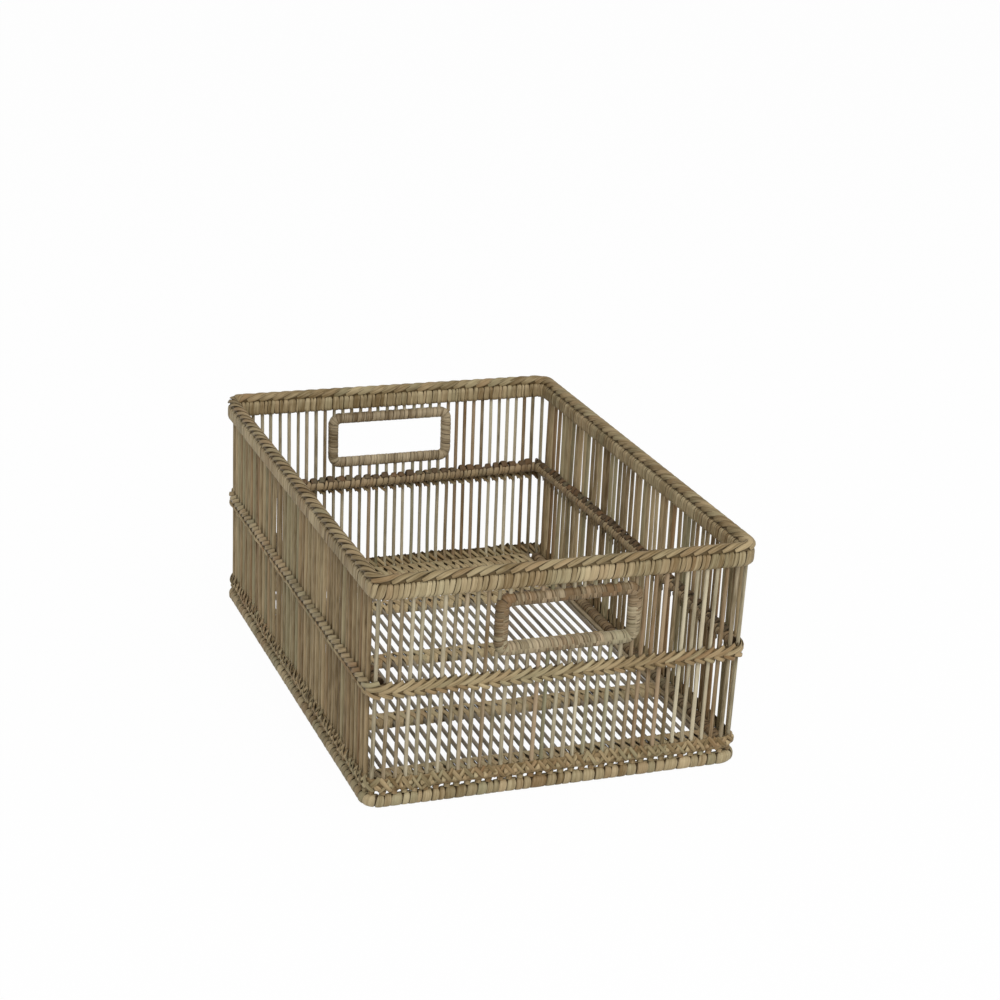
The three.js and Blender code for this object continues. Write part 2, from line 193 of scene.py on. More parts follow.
# Cells of noise to the metre, along, across and through a cane
FINE_GRAIN = (70, 2100, 2100)
COARSE_GRAIN = (30, 650, 650)
BLOTCHES = (70, 210, 210)
CORE_BLOTCHES = (220, 220, 220)
BUMP_HEIGHT = 0.0003

# How strongly each thing changes a cane's colour and roughness
TONE_EFFECT = 0.30
STREAK_EFFECT = 2.0
BLOTCH_EFFECT = 0.7
STAIN_BLOTCHES = 0.9
WARM_STAIN = 0.62
GREY_STAIN = 0.55
# Painted shade and dirt along a cane's edges and underside
EDGE_SHADE_AND_DIRT = 0.7
ROUGHNESS = 0.62
ROUGHNESS_CHANGE = 0.25


class Value:
    """A socket's value, so that Python expressions add Math nodes"""

    def __init__(self, nodes, socket):
        self.nodes = nodes
        self.socket = socket

    def maths(self, operation, first, second):
        made = self.nodes.add("ShaderNodeMath", {"operation": operation}, {0: first, 1: second})
        return Value(self.nodes, made.outputs[0])

    def __add__(self, other):
        return self.maths("ADD", self, other)

    def __radd__(self, other):
        return self.maths("ADD", other, self)

    def __sub__(self, other):
        return self.maths("SUBTRACT", self, other)

    def __rsub__(self, other):
        return self.maths("SUBTRACT", other, self)

    def __mul__(self, other):
        return self.maths("MULTIPLY", self, other)

    def __rmul__(self, other):
        return self.maths("MULTIPLY", other, self)

    def at_least(self, other):
        return self.maths("MAXIMUM", self, other)

    def at_most(self, other):
        return self.maths("MINIMUM", self, other)


class Nodes:
    """Adds nodes to a material or world, settings first and then the values of their sockets"""

    def __init__(self, owner):
        owner.use_nodes = True
        self.tree = owner.node_tree
        self.tree.nodes.clear()

    def add(self, kind, settings=None, sockets=None):
        node = self.tree.nodes.new(kind)
        for name, value in (settings or {}).items():
            setattr(node, name, value)
        for name, value in (sockets or {}).items():
            if isinstance(value, Value):
                self.tree.links.new(value.socket, node.inputs[name])
            else:
                node.inputs[name].default_value = value
        return node

    def value(self, node, output=0):
        return Value(self, node.outputs[output])

    def noise(self, place, cells, detail=2.0, roughness=0.5):
        scaled = self.add("ShaderNodeVectorMath", {"operation": "MULTIPLY"}, {0: place, 1: cells})
        sockets = {"Vector": self.value(scaled), "Scale": 1.0, "Detail": detail, "Roughness": roughness}
        return self.value(self.add("ShaderNodeTexNoise", None, sockets))

    def mix(self, share, first, second):
        sockets = {0: share, 6: first, 7: second}
        node = self.add("ShaderNodeMix", {"data_type": "RGBA", "clamp_factor": True}, sockets)
        return self.value(node, 2)

    def surface(self, colour, roughness, gloss, bumps, height):
        """Ends a material in a bumped surface"""
        bump = self.add("ShaderNodeBump", None, {
            "Strength": bumps, "Distance": BUMP_HEIGHT, "Height": height})
        shader = self.add("ShaderNodeBsdfPrincipled", None, {
            "Base Color": colour,
            "Roughness": roughness,
            "Specular IOR Level": gloss,
            "Normal": self.value(bump),
        })
        self.add("ShaderNodeOutputMaterial", None, {"Surface": self.value(shader)})


def rgba(colour):
    return (*colour, 1.0)


def cane_material(name, dark, light, colours, contrast):
    """Split cane or rod: streaks along it, slow patches, and painted shade and dirt along its edges and
    underside
    """
    material = bpy.data.materials.new(name)
    nodes = Nodes(material)
    grain = nodes.value(nodes.add("ShaderNodeAttribute", {"attribute_name": "grain"}), "Vector")
    shade = nodes.value(nodes.add("ShaderNodeAttribute", {"attribute_name": "shade"}), "Vector")
    parts = nodes.add("ShaderNodeSeparateXYZ", None, {0: shade})
    tone, warm, edge = (nodes.value(parts, axis) for axis in "XYZ")
    fine = nodes.noise(grain, FINE_GRAIN, roughness=0.6)
    coarse = nodes.noise(grain, COARSE_GRAIN)
    streaks = fine * 0.5 + coarse * 0.5
    blotches = nodes.noise(grain, BLOTCHES, detail=2.5)
    share = 0.5 + tone * TONE_EFFECT + (streaks - 0.5) * (STREAK_EFFECT * contrast) \
        + (blotches - 0.5) * (BLOTCH_EFFECT * contrast)
    colour = nodes.mix(share.at_least(0).at_most(1), rgba(dark), rgba(light))
    patchy = (blotches - 0.5) * STAIN_BLOTCHES
    for amount, strength, stain in ((patchy + warm, WARM_STAIN, colours.warm_stain),
                                    (patchy - warm, GREY_STAIN, colours.grey_stain)):
        colour = nodes.mix(amount.at_least(0).at_most(1) * strength, colour, rgba(stain))
    # Painted shade and dirt darken the cane towards its edges and underside
    colour = nodes.mix(edge * EDGE_SHADE_AND_DIRT, colour, rgba(colours.gap_shade))
    roughness = ROUGHNESS + (0.5 - streaks) * ROUGHNESS_CHANGE
    nodes.surface(colour, roughness, gloss=0.35, bumps=0.5, height=streaks * 0.7 + blotches * 0.3)
    return material


def core_shade_material(colours):
    """The hoops and rails under the wrappings, coloured dark as painted shade in the slits between the
    turns of cane
    """
    material = bpy.data.materials.new("core_rattan")
    nodes = Nodes(material)
    place = nodes.value(nodes.add("ShaderNodeTexCoord"), "Object")
    blotches = nodes.noise(place, CORE_BLOTCHES, detail=3.0)
    colour = nodes.mix(blotches, rgba(colours.core_dark), rgba(colours.core_light))
    roughness = 0.6 + blotches * 0.2
    nodes.surface(colour, roughness, gloss=0.25, bumps=0.4, height=blotches)
    return material


def finish_material(finish, contrast):
    """The cane of one finish, made the first time that a piece needs it"""
    name = f"{finish}_cane"
    colours = bpy.context.scene.basket_colours
    dark = getattr(colours, f"{finish}_dark")
    light = getattr(colours, f"{finish}_light")
    return bpy.data.materials.get(name) or cane_material(name, dark, light, colours, contrast)


# Lines that the canes follow


# Where a track's right, far and left sides and its last corner begin, among its ends
RIGHT = 2
FAR = 4
LEFT = 6
LAST_CORNER = 7


def half_length(sizes, height):
    return sizes.foot_half_length + sizes.end_lean * height / sizes.lean_height


def middle_height(node):
    low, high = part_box(node)
    return (low.z + high.z) / 2


class Track:
    """A closed rounded rectangle, followed anticlockwise from the left end of its lower side"""

    def __init__(self, half_x, half_y, bend):
        self.bend = bend
        self.flat_x = half_x - bend
        self.flat_y = half_y - bend
        self.turn = bend * math.pi / 2
        sides = [2 * self.flat_x, self.turn, 2 * self.flat_y, self.turn]
        self.ends = np.cumsum([0] + sides + sides)
        self.length = self.ends[-1]
        self.corners = np.array([(-self.flat_x, -self.flat_y), (self.flat_x, -self.flat_y),
                                 (self.flat_x, self.flat_y), (-self.flat_x, self.flat_y)])

    def at(self, along):
        """Centres of the bend and directions out of the track, so a point is centre + bend * out"""
        along = np.mod(along, self.length)
        leg = np.clip(np.searchsorted(self.ends, along, side="right") - 1, 0, LAST_CORNER)
        past = along - self.ends[leg]
        side = leg // 2
        turning = leg % 2
        angle = (side + turning * past / self.turn) * (math.pi / 2)
        heading = np.stack([np.cos(angle), np.sin(angle)], axis=-1)
        outward = np.stack([np.sin(angle), -np.cos(angle)], axis=-1)
        centre = self.corners[(side + turning) % 4] + ((1 - turning) * past)[..., None] * heading
        return centre, outward

    def skin(self, along):
        centre, outward = self.at(along)
        return centre + self.bend * outward, outward


class WallLine:
    """A line round the walls. A place is its distance along, outward and up."""

    def __init__(self, sizes, height, inset=0.0, bend=None, forward=0.0, rise=0.0):
        self.sizes = sizes
        self.height = height
        self.shift = -forward / 2
        self.rise = rise
        half_y = half_length(sizes, height) - inset + forward / 2
        self.track = Track(sizes.half_width - inset, half_y, bend or sizes.corner_bend)
        self.length = self.track.length

    def __call__(self, along, out, up):
        along, out, up = np.broadcast_arrays(along, out, up)
        centre, outward = self.track.at(along)
        flat = centre + (self.track.bend + out)[..., None] * outward
        lean = self.sizes.end_lean * up / self.sizes.lean_height
        y = flat[..., 1] + lean * centre[..., 1] / self.track.flat_y + self.shift
        from_middle = (along - self.right(0)) / self.sizes.rail_rise_spread
        z = self.height + up + self.rise * np.exp(-from_middle ** 2)
        return np.stack([flat[..., 0], y, z], axis=-1)

    def front(self, x):
        """Distance along at which the front wall's rod with this x stands"""
        flat_x, bend = self.track.flat_x, self.track.bend
        past = np.clip(np.abs(x) - flat_x, 0, bend)
        return flat_x + np.clip(x, -flat_x, flat_x) + np.sign(x) * bend * np.arcsin(past / bend)

    def right(self, y):
        """Distance along at which the right wall's rod with this y stands"""
        return self.track.ends[RIGHT] + self.track.flat_y + y - self.shift


class CapLine:
    """Runs over a line's rounded top. A place is its distance along, its lift and its way outward."""

    def __init__(self, line, reach, crown):
        self.line = line
        self.reach = reach
        self.crown = crown

    def arc(self, degrees):
        """The way outward from the crown to the side that faces so many degrees from upright"""
        return math.radians(degrees) * (self.reach + self.crown) / 2

    def __call__(self, along, lift, outward):
        turn = outward * 2 / (self.reach + self.crown)
        out = (self.reach + lift) * np.sin(turn)
        up = (self.crown + lift) * np.cos(turn)
        return self.line(along, out, up)


class FrameLine:
    """The line of a hand hole's frame. A place is its distance along, through and away."""

    def __init__(self, sizes, node, tube, bend, side, shift):
        low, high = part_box(node)
        self.sizes = sizes
        self.side = side
        self.shift = shift
        self.height = middle_height(node)
        self.track = Track((high.x - low.x - tube) / 2, (high.z - low.z - tube) / 2, bend)
        self.length = self.track.length

    def __call__(self, along, through, away):
        along, through, away = np.broadcast_arrays(along, through, away)
        centre, outward = self.track.at(along)
        flat = centre + (self.track.bend + away)[..., None] * outward
        z = self.height + flat[..., 1]
        y = self.side * (half_length(self.sizes, z) + through)
        return np.stack([flat[..., 0] + self.shift, y, z], axis=-1)


class StraightLine:
    """A straight level line. A place is its distance along, across and up."""

    def __init__(self, origin, along, across):
        self.origin = np.array(origin)
        self.ways = np.array((along, across, Z_WAY))

    def __call__(self, along, across, up):
        return self.origin + np.stack(np.broadcast_arrays(along, across, up), axis=-1) @ self.ways


# Cane


# Section of a split cane, as shares of its width and of its thickness, and the painted shade and dirt
# round it, darkest at its edges and underside
ACROSS = np.array([-0.50, -0.48, -0.40, -0.18, 0.18, 0.40, 0.48, 0.50, 0.25, -0.25])
RISE = np.array([0.10, 0.55, 0.80, 1.00, 1.00, 0.80, 0.55, 0.10, -0.15, -0.15])
EDGE = np.array([1.00, 0.45, 0.08, 0.00, 0.00, 0.08, 0.45, 1.00, 1.00, 1.00])
SHARP_EDGE = math.radians(55)
PATCH_STRENGTH = 0.6
GRAIN_CELLS = 9

# Limits of a turn's width as shares of the usual one, the overlap of its ends, and a sunk turn's looks
NARROWEST_TURN = 0.45
WIDEST_TURN = 1.75
TURN_OVERLAP = 0.02
THINNEST_TURN = 0.70
SUNK_DEPTH = 0.4
SUNK_SHADE = 1.1

# Steps along a strip of a plait, along a short one, and along an upright rod and its bend
STRIP_STEPS = 9
SHORT_STEPS = 7
ROD_STEPS = 14
BEND_STEPS = 7


def unit(vectors):
    return vectors / np.maximum(np.linalg.norm(vectors, axis=-1, keepdims=True), TINY)


def run_along(paths):
    """Distance from the start of each path to each of its steps"""
    return np.cumsum(np.linalg.norm(np.diff(paths, axis=1, prepend=paths[:, :1]), axis=-1), axis=1)


def patches(rng, along, length, size):
    """Slow changes along a closed line, about -1 to 1"""
    waves = np.arange(1, max(3, int(length / size)))
    phase = rng.uniform(0, 2 * math.pi, len(waves))
    height = rng.normal(0, 1, len(waves))
    angle = 2 * math.pi * np.asarray(along)[..., None] * waves / length + phase
    return np.sin(angle) @ height / math.sqrt(np.sum(height ** 2) / 2) * PATCH_STRENGTH


class Cane:
    """Gathers strips and rods, and builds them as the piece that stands for a node"""

    def __init__(self, node, name=None):
        self.node = node
        self.name = name or f"{node}_cane"
        self.rng = np.random.default_rng(zlib.crc32(self.name.encode()))
        self.points = []
        self.quads = []
        self.grain = []
        self.shade = []
        self.count = 0

    def vary(self, amount, count):
        """A small difference for each strip"""
        return self.rng.normal(0, amount, (count, 1))

    def hues(self, count, tone, spread, warm=0.1, warm_spread=0.3):
        """How light and how warm each strip is"""
        return tone + self.rng.normal(0, spread, count), warm + self.rng.normal(0, warm_spread, count)

    def join(self, rings, grain, edge, tone, warm):
        """Closes rings of points (strip, ring, corner, axis) into skins with ends"""
        strips, steps, corners, _ = rings.shape
        ring = np.arange(corners)
        step = np.arange(steps - 1)[:, None] * corners
        following = (ring + 1) % corners
        walls = np.stack([step + ring, step + following, step + corners + following,
                          step + corners + ring], axis=-1).reshape(-1, 4)
        cap = np.arange(corners // 2 - 1)
        front = np.stack([cap, corners - 1 - cap, corners - 2 - cap, cap + 1], axis=-1)
        back = front[:, ::-1] + (steps - 1) * corners
        quads = np.concatenate([walls, front, back])
        points = rings.reshape(strips, -1, 3)
        a, b, c, d = (points[:, quads[:, i]] for i in range(4))
        volume = np.sum(a * (np.cross(b, c) + np.cross(c, d)), axis=(1, 2))
        order = np.where((volume < 0)[:, None, None], quads[:, ::-1], quads)
        order = order + (np.arange(strips) * steps * corners)[:, None, None]
        self.points.append(points.reshape(-1, 3))
        self.quads.append(order.reshape(-1, 4) + self.count)
        self.count += strips * steps * corners
        other_cane = self.rng.uniform(0, GRAIN_CELLS, (strips, 1, 1, 3))
        self.grain.append((grain + other_cane).reshape(-1, 3))
        shade = np.empty((strips, steps, corners, 3))
        shade[..., 0] = np.reshape(tone, (strips, -1, 1))
        shade[..., 1] = np.reshape(warm, (strips, -1, 1))
        shade[..., 2] = edge
        self.shade.append(shade.reshape(-1, 3))

    def strips(self, centre, across, rise, tone, warm, shade_and_dirt=1.0, swell=None):
        """Flat canes: across and rise hold their width and thickness, for each strip and step.

        Swell moves a strip's middle, so that a wide strip follows a bend."""
        rings = centre[..., None, :] + across[..., None, :] * ACROSS[:, None] \
            + rise[..., None, :] * RISE[:, None]
        if swell is not None:
            rings += swell[..., None, :] * (1 - 4 * ACROSS[:, None] ** 2)
        grain = np.zeros(rings.shape)
        grain[..., 0] = run_along(centre)[..., None]
        grain[..., 1] = np.linalg.norm(across, axis=-1)[..., None] * ACROSS
        self.join(rings, grain, EDGE * shade_and_dirt, tone, warm)

    def rods(self, paths, radii, sideways, tone, warm, sides=10, shade_and_dirt=0.0):
        """Round rods along paths (rod, step, axis)"""
        tangent = unit(np.gradient(paths, axis=1))
        other = unit(np.cross(tangent, sideways))
        level = np.cross(other, tangent)
        angle = np.arange(sides) * 2 * math.pi / sides
        radius = np.broadcast_to(np.reshape(radii, (len(paths), -1)), paths.shape[:2])[..., None]
        first = radius * np.cos(angle)
        second = radius * np.sin(angle)
        rings = paths[..., None, :] + first[..., None] * level[..., None, :] \
            + second[..., None] * other[..., None, :]
        run = np.broadcast_to(run_along(paths)[..., None], first.shape)
        grain = np.stack([run, first, second], axis=-1)
        self.join(rings, grain, np.full(sides, shade_and_dirt), tone, warm)

    def build(self, finish, contrast=1.0):
        """Makes the piece from what was gathered"""
        points = np.concatenate(self.points)
        quads = np.concatenate(self.quads)
        mesh = bpy.data.meshes.new(self.name)
        mesh.vertices.add(len(points))
        mesh.vertices.foreach_set("co", points.ravel())
        mesh.loops.add(quads.size)
        mesh.loops.foreach_set("vertex_index", quads.ravel())
        mesh.polygons.add(len(quads))
        mesh.polygons.foreach_set("loop_start", np.arange(0, quads.size, 4))
        mesh.update(calc_edges=True)
        for name, values in (("grain", self.grain), ("shade", self.shade)):
            attribute = mesh.attributes.new(name, "FLOAT_VECTOR", "POINT")
            attribute.data.foreach_set("vector", np.concatenate(values).ravel())
        mesh.shade_smooth()
        mesh.set_sharp_from_angle(angle=SHARP_EDGE)
        mesh.materials.append(finish_material(finish, contrast))
        piece = bpy.data.objects.new(self.name, mesh)
        bpy.context.collection.objects.link(piece)
        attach(piece, "root")
        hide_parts(self.node)


def wind(cane, line, outline, width, thickness, start, stop, centre=(0, 0), steps=18, spread=0.25,
         seam=0.0, slant=1.0, fill=0.96, loose=0.04, pinch=0.0, hook=0.0, sway=0.05,
         mottle=0.45, wear=0.5, stain=0.4, stain_size=0.06, shade=0.0, odd=0.0):
    """Winds turns of cane round a core. The outline is the core's section, round its centre.

    Spread, loose and sway vary the turns' widths, gaps and tilt. Mottle, wear and stain vary their
    colour, and odd is the share of turns that lie deep and dark."""
    rng = cane.rng
    count = max(1, round((stop - start) / width))
    widths = width * np.exp(rng.normal(0, spread, count)).clip(NARROWEST_TURN, WIDEST_TURN)
    widths *= (stop - start) / widths.sum()
    middles = start + np.cumsum(widths) - widths / 2
    turn = np.linspace(-TURN_OVERLAP, 1 + TURN_OVERLAP, steps)
    skin, outward = outline.skin(seam + turn * outline.length)
    height = skin[:, 1] / (outline.flat_y + outline.bend)
    narrowing = 1 - pinch * np.abs(height) ** 5
    cover = fill + rng.uniform(-loose, loose * 0.6, (count, 1))
    half = widths[:, None] * cover / 2 * narrowing
    swing = rng.normal(0, sway, (2, count, 1)) * width
    tilt = swing[0] * np.sin(2 * math.pi * turn) + swing[1] * np.cos(2 * math.pi * turn)
    lean = hook * width * np.clip(-height, 0, 1) ** 3
    along = middles[:, None] + width * slant * (turn - 0.5) + tilt - lean
    sunk = rng.random(count) < odd
    lift = thickness * rng.uniform(THINNEST_TURN, 1, (count, 1)) * (1 - SUNK_DEPTH * sunk[:, None])
    a = centre[0] + skin[:, 0]
    b = centre[1] + skin[:, 1]
    left = line(along - half, a, b)
    right = line(along + half, a, b)
    middle = line(along, a, b)
    top = line(along, a + lift * outward[:, 0], b + lift * outward[:, 1])
    mean = (left + right) / 2
    tone = patches(rng, middles, stop - start, stain_size) * wear + rng.normal(shade, mottle, count)
    warm = patches(rng, middles, stop - start, stain_size) * stain + rng.normal(0, stain * 0.5, count)
    cane.strips(mean, right - left, top - middle, tone - SUNK_SHADE * sunk, warm, swell=middle - mean)


def lay(cane, line, along, out, up, width, thickness, tone, warm, shade_and_dirt=1.0, tilt=0.0):
    """Lays strips on the wall. Along, out and up give each strip's middle (strip, step).

    Tilt lifts one edge of a strip off the wall and presses the other edge down."""
    along, out, up = np.broadcast_arrays(along, out, up)
    run = np.gradient(along, axis=1)
    climb = np.gradient(up, axis=1)
    size = np.maximum(np.hypot(run, climb), TINY)
    half = np.broadcast_to(width, along.shape) / 2
    side = half * climb / size
    rise = half * run / size
    left = line(along - side, out + tilt, up + rise)
    right = line(along + side, out - tilt, up - rise)
    top = line(along, out + thickness, up) - line(along, out, up)
    cane.strips((left + right) / 2, right - left, top, tone, warm, shade_and_dirt)


def thread(cane, line, start, stop, steps, radius, sideways, tone, up=0, sides=12, shade_and_dirt=0.0):
    """Runs one round rod along a line"""
    path = line(np.linspace(start, stop, steps)[None, :], 0, up)
    cane.rods(path, radius, sideways, tone, 0, sides, shade_and_dirt)


# Rods


# How much rods differ in thickness, tone, warmth and distance from the wall
THINNEST_ROD = 0.90
THICKEST_ROD = 1.08
ROD_TONES = 0.85
ROD_WARMTH = 1.1
USUAL_WARMTH = 0.05
ROD_DEPTHS = 0.00015
END_ROD_SPREAD = 0.00035
SIDE_ROD_SPREAD = 0.0016


class RodDraws:
    """The small differences between rods, the same wherever a rod shows"""

    def __init__(self, sizes, name, count, spread):
        rng = np.random.default_rng(zlib.crc32(name.encode()))
        self.shift = rng.uniform(-spread, spread, count)
        self.radius = sizes.rod_radius * rng.uniform(THINNEST_ROD, THICKEST_ROD, count)
        self.tone = rng.normal(0, ROD_TONES, count)
        self.warm = rng.uniform(-1, 1, count) ** 3 * ROD_WARMTH + USUAL_WARMTH
        self.bow = rng.normal(0, spread * 0.6, (count, 2))
        self.depth = rng.normal(0, ROD_DEPTHS, count)


def end_rods(sizes):
    reach = sizes.half_width - sizes.end_rod_inset
    places = np.linspace(-reach, reach, sizes.end_rods)
    return places, RodDraws(sizes, "end rods", sizes.end_rods, END_ROD_SPREAD)


def side_rods(sizes, side):
    """The places of a side wall's rods, which vary more, are thicker and are duller in colour"""
    reach = sizes.foot_half_length - sizes.side_rod_inset
    places = np.linspace(-reach, reach, sizes.side_rods)
    draws = RodDraws(sizes, f"side rods {side}", sizes.side_rods, SIDE_ROD_SPREAD)
    thicker = 1.08
    duller = 0.65
    draws.radius *= thicker
    draws.tone *= duller
    draws.shift[[0, -1]] = 0
    return places, draws


def corner_setback(sizes, x):
    past = np.clip(np.abs(x) - (sizes.half_width - sizes.corner_bend), 0, sizes.corner_bend)
    return sizes.corner_bend - np.sqrt(sizes.corner_bend ** 2 - past ** 2)


def bowed(draws, pick, heights, low, high):
    share = (heights - low) / (high - low)
    return draws.bow[pick, 0, None] * np.sin(math.pi * share) \
        + draws.bow[pick, 1, None] * np.sin(2 * math.pi * share) * 0.5


def base_rod_limit(sizes):
    """How far from the middle the outermost base rod may lie"""
    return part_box("base_edge_strip_right")[0].x - 2 * sizes.rod_radius


def end_wall_rods(cane, sizes, side, pick, low, high, bend):
    """Upright rods of an end wall, which turn in to the base where they are bent"""
    places, draws = end_rods(sizes)
    straight_low = sizes.base_height + sizes.base_bend if bend else low
    heights = np.linspace(high, straight_low, ROD_STEPS)
    x = places[pick, None] + draws.shift[pick, None] + bowed(draws, pick, heights, straight_low, high)
    wall = half_length(sizes, heights) - corner_setback(sizes, places[pick, None]) \
        + draws.depth[pick, None]
    z = np.broadcast_to(heights, x.shape)
    if bend:
        turn = np.linspace(0, math.pi / 2, BEND_STEPS)[1:]
        foot = half_length(sizes, straight_low) + draws.depth[pick, None]
        arc_y = foot - sizes.base_bend * (1 - np.cos(turn))
        arc_z = straight_low - sizes.base_bend * np.sin(turn)
        x = np.concatenate([x, np.broadcast_to(x[:, -1:], arc_y.shape)], axis=1)
        wall = np.concatenate([wall, arc_y], axis=1)
        z = np.concatenate([z, np.broadcast_to(arc_z, arc_y.shape)], axis=1)
    paths = np.stack([x, side * wall, z], axis=-1)
    cane.rods(paths, draws.radius[pick], X_WAY, draws.tone[pick], draws.warm[pick])


# Plaits


# Length of the slow changes of colour along a plait, and how much they change its tone
PATCH_SIZE = 0.05
SLOW_TONES = 0.4


def level_line(sizes, node):
    return WallLine(sizes, middle_height(node))


def stakes(sizes, line):
    """Distances along a wall line at which all its upright rods stand, in order"""
    half_way = line.length / 2
    places, draws = end_rods(sizes)
    found = [line.front(places + draws.shift), line.front(-(places + draws.shift)) + half_way]
    for side, turn in ((1, 0), (-1, half_way)):
        places, draws = side_rods(sizes, side)
        found.append(line.right(side * (places + draws.shift)) + turn)
    found.append(line.track.ends[1::2] + line.track.turn / 2)
    return np.sort(np.mod(np.concatenate(found), line.length))


def backing(cane, line, out, up, width):
    """A dark band behind a plait's strips, which closes the wall"""
    steps = 241
    along = np.linspace(0, line.length, steps)[None, :]
    lay(cane, line, along, out, up, width, thickness=0.0004, tone=-0.9, warm=0.2, shade_and_dirt=0.25)


def inner_strips(cane, line, posts, pitch, top, fall, depth):
    """The parts of a plait's strips that cross from rod to rod inside the walls"""
    count = len(posts)
    share = np.linspace(0, 1, SHORT_STEPS)
    before = 0.08
    reach = 0.86
    along = posts[:, None] - pitch[:, None] * (before + reach * share)
    up = top - fall * share + cane.vary(0.0003, count)
    front = 0.0008
    tone, warm = cane.hues(count, tone=-0.1, spread=0.4)
    lay(cane, line, along, front - depth * share, up, width=0.0027, thickness=-0.0009,
        tone=tone, warm=warm)


# Operators


class Undoable:
    """Lets a press of an operator's button be undone"""

    bl_options = {"REGISTER", "UNDO"}


class BASKET_OT_cores(Undoable, bpy.types.Operator):
    """Colours the hoops and rails under the wrappings"""

    bl_idname = "basket.cores"
    bl_label = "Hoops and rails"

    def execute(self, context):
        material = core_shade_material(context.scene.basket_colours)
        for node in ("rim_outer_hoop", "rim_inner_hoop", "foot_hoop", "side_rail_left", "side_rail_right"):
            for slot in bpy.data.objects[node].material_slots:
                slot.material = material
        return {"FINISHED"}


class BASKET_OT_rim_wrap(Undoable, bpy.types.Operator):
    """Winds cane round the rim"""

    bl_idname = "basket.rim_wrap"
    bl_label = "Rim wrapping"

    def execute(self, context):
        sizes = context.scene.basket_sizes
        cane = Cane("rim_wrap")
        low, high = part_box("rim_wrap")
        line = level_line(sizes, "rim_wrap")
        thickness = sizes.cane_thickness * 0.8
        outline = Track(half_x=0.0047, half_y=(high.z - low.z) / 2 - thickness, bend=0.0028)
        seam = outline.ends[FAR] + outline.flat_x
        wind(cane, line, outline, sizes.rim_turn, thickness, 0, line.length, centre=(-0.0002, 0),
             steps=28, spread=0.32, seam=seam, fill=0.995, loose=0.02, pinch=0.20, hook=0.35,
             mottle=0.34, wear=0.75, stain=0.24, stain_size=0.05, shade=-0.25, odd=0.05)
        cane.build("wrap")
        return {"FINISHED"}


class BASKET_OT_rim_plait(Undoable, bpy.types.Operator):
    """Plaits a herringbone of cane along the top of the rim"""

    bl_idname = "basket.rim_plait"
    bl_label = "Rim plait"

    def execute(self, context):
        sizes = context.scene.basket_sizes
        cane = Cane("rim_plait")
        above = 0.0006
        line = WallLine(sizes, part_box("rim_plait")[0].z + above, inset=-0.0001)
        cap = CapLine(line, reach=0.0038, crown=0.0040)
        count = round(line.length / sizes.rim_plait_pitch)
        starts = np.arange(count)[:, None] * (line.length / count) + cane.vary(0.0004, count)
        steps = 13
        share = np.linspace(0, 1, steps)
        along = starts + (sizes.rim_plait_run + cane.vary(0.0008, count)) * share
        outer_edge = cap.arc(degrees=84)
        inner_edge = cap.arc(degrees=88)
        way = outer_edge - (outer_edge + inner_edge) * share + cane.vary(0.00015, count)
        arch = 0.0012
        sink = 0.0003
        lift = arch * np.sin(math.pi * share) ** 0.6 - sink * share
        widening = 1.7
        width = sizes.rim_plait_cane * (1 + np.minimum(1, share * widening)) / 2
        darker = 0.55
        tone = SLOW_TONES * patches(cane.rng, starts[:, 0], line.length, PATCH_SIZE) - darker
        hues = cane.hues(count, tone, spread=0.35, warm=0, warm_spread=0.25)
        lay(cane, cap, along, lift, way, width, sizes.cane_thickness, *hues, tilt=0.0004)
        # The rod under the plait is darkened all over, in tone and by edge darkening, as painted shade in
        # the gaps between the strands
        thread(cane, line, 0, line.length, steps=401, radius=0.0034, sideways=Z_WAY, tone=-1.8,
               up=0.0002, sides=10, shade_and_dirt=0.5)
        cane.build("plait")
        return {"FINISHED"}


